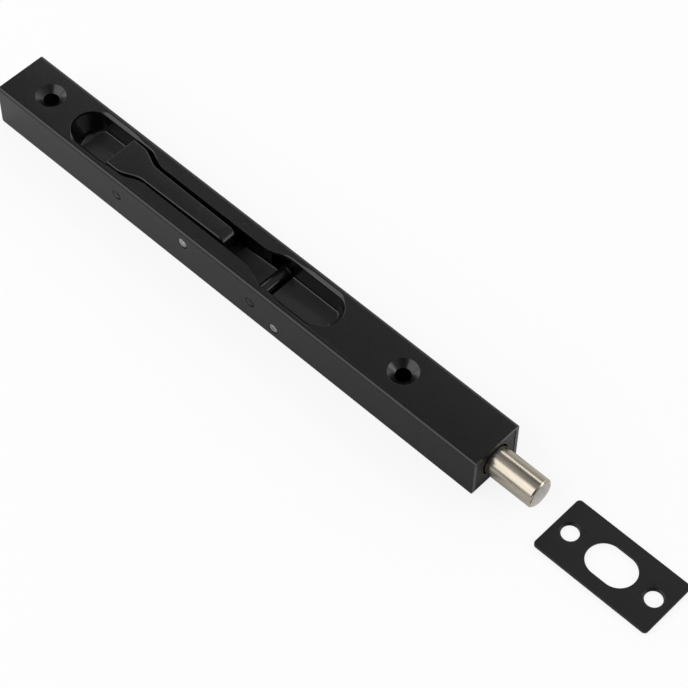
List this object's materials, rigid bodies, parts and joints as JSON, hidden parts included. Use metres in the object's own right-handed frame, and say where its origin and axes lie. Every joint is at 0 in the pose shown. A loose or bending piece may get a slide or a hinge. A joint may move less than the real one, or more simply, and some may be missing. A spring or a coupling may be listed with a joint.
{
  "type": "toggle bolt latch",
  "caption": "Lever-action flush bolt: a folded channel with a flip-over lever that slides a round bolt, and its slotted strike plate.",
  "frame": {"origin": "under the middle of the whole set's box, at the height of the channel's back", "axes": "+X along the latch from the lever end to the bolt and the strike plate, +Y across, +Z from the back to the face"},
  "size_m": [0.2644, 0.0204, 0.0155],
  "materials": {
    "black_coat": "satin black powder coat with a fine grain",
    "plate_coat": "flat black powder coat",
    "bright_plate": "bright plated pin, end face left bare",
    "bolt_plate": "warm nickel plate with faint lengthwise lines",
    "zinc_plate": "dull zinc plate",
    "cast_block": "dark cast zinc"
  },
  "bodies": {
    "frame": {"housing": "black_coat", "pivot_pin": "bright_plate", "pivot_spacer_near": "zinc_plate", "pivot_spacer_far": "zinc_plate", "rest_pin_left": "black_coat", "rest_pin_right": "black_coat", "guide_pin": "bright_plate", "detent_spring": "black_coat", "bolt_guide": "cast_block", "strike_plate": "plate_coat"},
    "lever": {"lever": "black_coat", "crank_pin": "bright_plate"},
    "bolt": {"bolt": "bolt_plate", "drive_bar": "black_coat"}
  },
  "joints": [
    {"name": "lever_flip", "type": "hinge", "parent": "frame", "child": "lever", "pos_m": [-0.0499, 0, 0.0105], "axis": [0, 1, 0], "range_deg": [0, 170]},
    {"name": "bolt_slide", "type": "slide", "parent": "frame", "child": "bolt", "axis": [1, 0, 0], "range_m": [-0.018, 0]}
  ],
  "couplings": [
    {"joint": "bolt_slide", "follows": "lever_flip", "m_per_rad": -0.00602}
  ]
}
